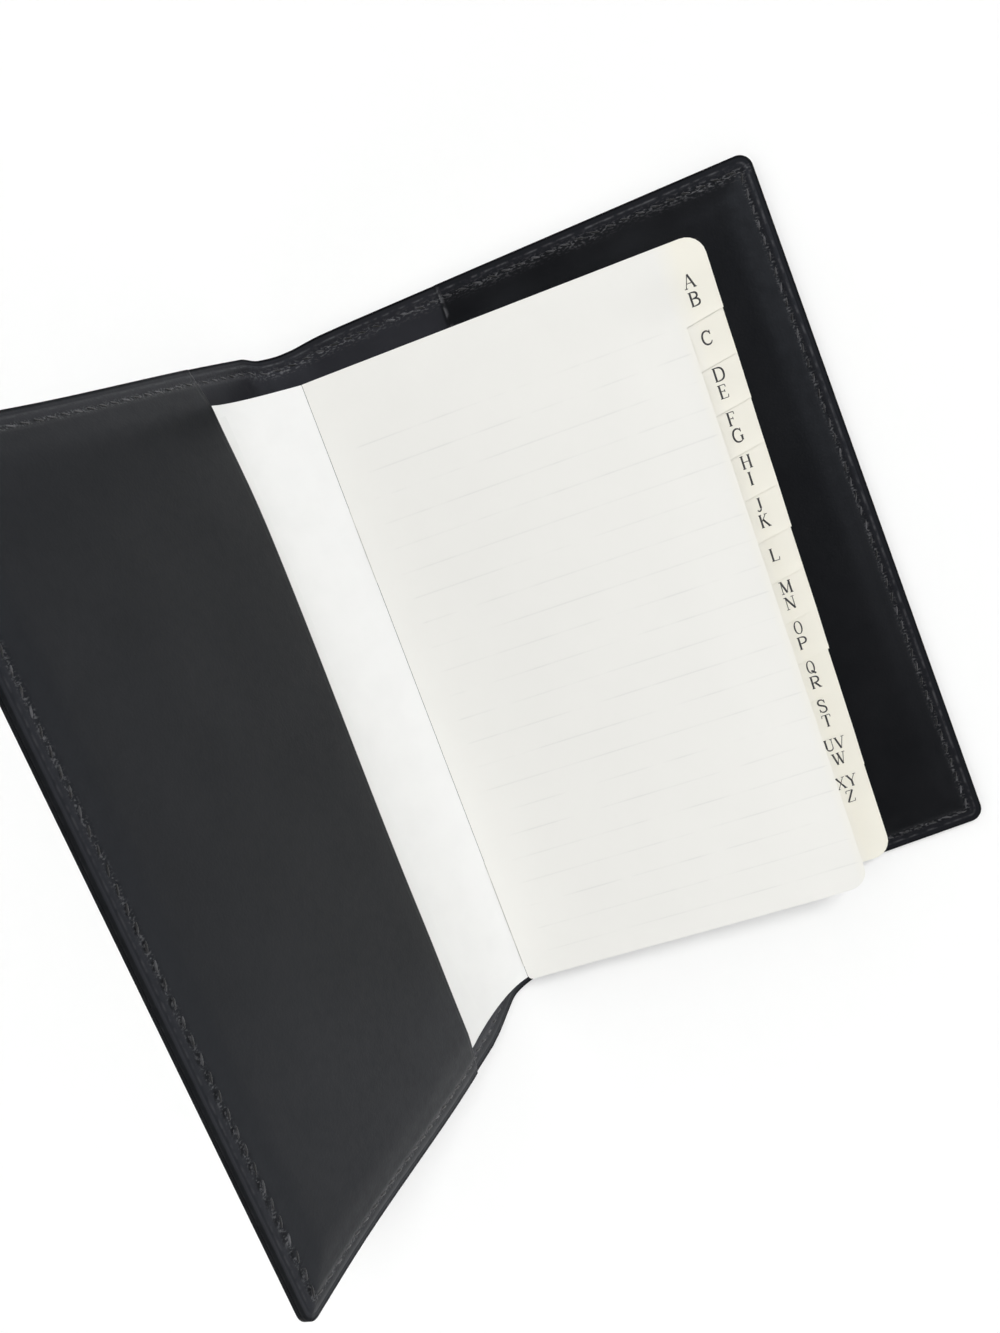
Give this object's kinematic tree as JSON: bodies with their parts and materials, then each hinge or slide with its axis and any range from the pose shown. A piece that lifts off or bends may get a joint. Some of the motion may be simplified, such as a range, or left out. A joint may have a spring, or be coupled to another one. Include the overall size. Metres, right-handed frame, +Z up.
{
  "type": "leather planner",
  "caption": "Open leather planner cover with stitched pockets that hold a sewn address booklet with a stepped thumb index; its covers fold at the spine and its leaves turn.",
  "frame": {"origin": "centre of the right cover's outer face, which lies on the table", "axes": "+Y towards the head of the book, along the spine creases; +X from the spine to the right cover's fore edge; +Z up"},
  "size_m": [0.1242, 0.13, 0.085],
  "materials": {
    "black_calf": "smooth satin",
    "black_lining": "matte",
    "black_pocket_calf": "smooth satin",
    "waxed_thread": "waxed",
    "grey_board": "matte",
    "ivory_paper": "matte",
    "white_card": "matte",
    "cotton_thread": "matte"
  },
  "bodies": {
    "right_cover": {"right_outer_leather": "black_calf", "right_board": "grey_board", "right_lining": "black_lining", "right_pocket": "black_pocket_calf", "right_seam_thread": "waxed_thread"},
    "spine": {"spine_outer_leather": "black_calf", "spine_lining": "black_lining", "spine_head_thread": "waxed_thread", "spine_tail_thread": "waxed_thread"},
    "left_cover": {"left_outer_leather": "black_calf", "left_board": "grey_board", "left_lining": "black_lining", "left_pocket": "black_pocket_calf", "left_seam_thread": "waxed_thread"},
    "front_card": {"front_card": "white_card"},
    "booklet": {"back_card": "white_card", "booklet_spine_wrap": "white_card"},
    "block": {"sewing_thread": "cotton_thread"},
    "leaf_01": {"leaf_01": "ivory_paper"},
    "leaf_02": {"leaf_02": "ivory_paper"},
    "leaf_03": {"leaf_03": "ivory_paper"},
    "leaf_04": {"leaf_04": "ivory_paper"},
    "leaf_05": {"leaf_05": "ivory_paper"},
    "leaf_06": {"leaf_06": "ivory_paper"},
    "leaf_07": {"leaf_07": "ivory_paper"},
    "leaf_08": {"leaf_08": "ivory_paper"},
    "leaf_09": {"leaf_09": "ivory_paper"},
    "leaf_10": {"leaf_10": "ivory_paper"},
    "leaf_11": {"leaf_11": "ivory_paper"},
    "leaf_12": {"leaf_12": "ivory_paper"},
    "leaf_13": {"leaf_13": "ivory_paper"},
    "leaf_14": {"leaf_14": "ivory_paper"}
  },
  "joints": [
    {"name": "spine_fold", "type": "hinge", "parent": "right_cover", "child": "spine", "pos_m": [-0.0425, 0, 0.00145], "axis": [0, 1, 0], "range_deg": [-15.05, 75.05]},
    {"name": "left_cover_fold", "type": "hinge", "parent": "spine", "child": "left_cover", "pos_m": [-0.05264, 0, 0.00417], "axis": [0, 1, 0], "range_deg": [-56, 34]},
    {"name": "front_card_tuck", "type": "slide", "parent": "left_cover", "child": "front_card", "axis": [-0.3256, 0, 0.9455], "range_m": [0, 0.005]},
    {"name": "booklet_tuck", "type": "slide", "parent": "right_cover", "child": "booklet", "axis": [1, 0, 0], "range_m": [-0.0018, 0.009]},
    {"name": "block_lift", "type": "hinge", "parent": "booklet", "child": "block", "pos_m": [-0.047, -0.0018, 0.0095], "axis": [0.0384, 0.9993, 0], "range_deg": [-70, 0]},
    {"name": "page_turn", "type": "hinge", "parent": "block", "child": "leaf_01", "pos_m": [-0.047, -0.0018, 0.0095], "axis": [0.0384, 0.9993, 0], "range_deg": [-96, 4.4]},
    {"name": "leaf_02_turn", "type": "hinge", "parent": "block", "child": "leaf_02", "pos_m": [-0.04655, -0.00182, 0.00905], "axis": [0.0384, 0.9993, 0], "range_deg": [-89.16, 4.11]},
    {"name": "leaf_03_turn", "type": "hinge", "parent": "block", "child": "leaf_03", "pos_m": [-0.0461, -0.00183, 0.0086], "axis": [0.0384, 0.9993, 0], "range_deg": [-82.31, 3.79]},
    {"name": "leaf_04_turn", "type": "hinge", "parent": "block", "child": "leaf_04", "pos_m": [-0.04565, -0.00185, 0.00815], "axis": [0.0384, 0.9993, 0], "range_deg": [-75.45, 3.48]},
    {"name": "leaf_05_turn", "type": "hinge", "parent": "block", "child": "leaf_05", "pos_m": [-0.0452, -0.00187, 0.0077], "axis": [0.0384, 0.9993, 0], "range_deg": [-68.59, 3.16]},
    {"name": "leaf_06_turn", "type": "hinge", "parent": "block", "child": "leaf_06", "pos_m": [-0.04475, -0.00189, 0.00725], "axis": [0.0384, 0.9993, 0], "range_deg": [-61.73, 2.85]},
    {"name": "leaf_07_turn", "type": "hinge", "parent": "block", "child": "leaf_07", "pos_m": [-0.0443, -0.0019, 0.0068], "axis": [0.0384, 0.9993, 0], "range_deg": [-54.88, 2.53]},
    {"name": "leaf_08_turn", "type": "hinge", "parent": "block", "child": "leaf_08", "pos_m": [-0.04385, -0.00192, 0.00635], "axis": [0.0384, 0.9993, 0], "range_deg": [-48.02, 2.22]},
    {"name": "leaf_09_turn", "type": "hinge", "parent": "block", "child": "leaf_09", "pos_m": [-0.0434, -0.00194, 0.0059], "axis": [0.0384, 0.9993, 0], "range_deg": [-41.16, 1.91]},
    {"name": "leaf_10_turn", "type": "hinge", "parent": "block", "child": "leaf_10", "pos_m": [-0.04295, -0.00196, 0.00545], "axis": [0.0384, 0.9993, 0], "range_deg": [-34.31, 1.59]},
    {"name": "leaf_11_turn", "type": "hinge", "parent": "block", "child": "leaf_11", "pos_m": [-0.0425, -0.00197, 0.005], "axis": [0.0384, 0.9993, 0], "range_deg": [-27.45, 1.28]},
    {"name": "leaf_12_turn", "type": "hinge", "parent": "block", "child": "leaf_12", "pos_m": [-0.04205, -0.00199, 0.00455], "axis": [0.0384, 0.9993, 0], "range_deg": [-20.59, 0.96]},
    {"name": "leaf_13_turn", "type": "hinge", "parent": "block", "child": "leaf_13", "pos_m": [-0.0416, -0.00201, 0.0041], "axis": [0.0384, 0.9993, 0], "range_deg": [-13.73, 0.65]},
    {"name": "leaf_14_turn", "type": "hinge", "parent": "block", "child": "leaf_14", "pos_m": [-0.04115, -0.00202, 0.00365], "axis": [0.0384, 0.9993, 0], "range_deg": [-6.88, 0.33]}
  ],
  "couplings": [
    {"joint": "spine_fold", "follows": "booklet_tuck", "rad_per_m": 145.44},
    {"joint": "leaf_02_turn", "follows": "page_turn", "ratio": 0.92857},
    {"joint": "leaf_03_turn", "follows": "page_turn", "ratio": 0.85714},
    {"joint": "leaf_04_turn", "follows": "page_turn", "ratio": 0.78571},
    {"joint": "leaf_05_turn", "follows": "page_turn", "ratio": 0.71429},
    {"joint": "leaf_06_turn", "follows": "page_turn", "ratio": 0.64286},
    {"joint": "leaf_07_turn", "follows": "page_turn", "ratio": 0.57143},
    {"joint": "leaf_08_turn", "follows": "page_turn", "ratio": 0.5},
    {"joint": "leaf_09_turn", "follows": "page_turn", "ratio": 0.42857},
    {"joint": "leaf_10_turn", "follows": "page_turn", "ratio": 0.35714},
    {"joint": "leaf_11_turn", "follows": "page_turn", "ratio": 0.28571},
    {"joint": "leaf_12_turn", "follows": "page_turn", "ratio": 0.21429},
    {"joint": "leaf_13_turn", "follows": "page_turn", "ratio": 0.14286},
    {"joint": "leaf_14_turn", "follows": "page_turn", "ratio": 0.071429}
  ]
}
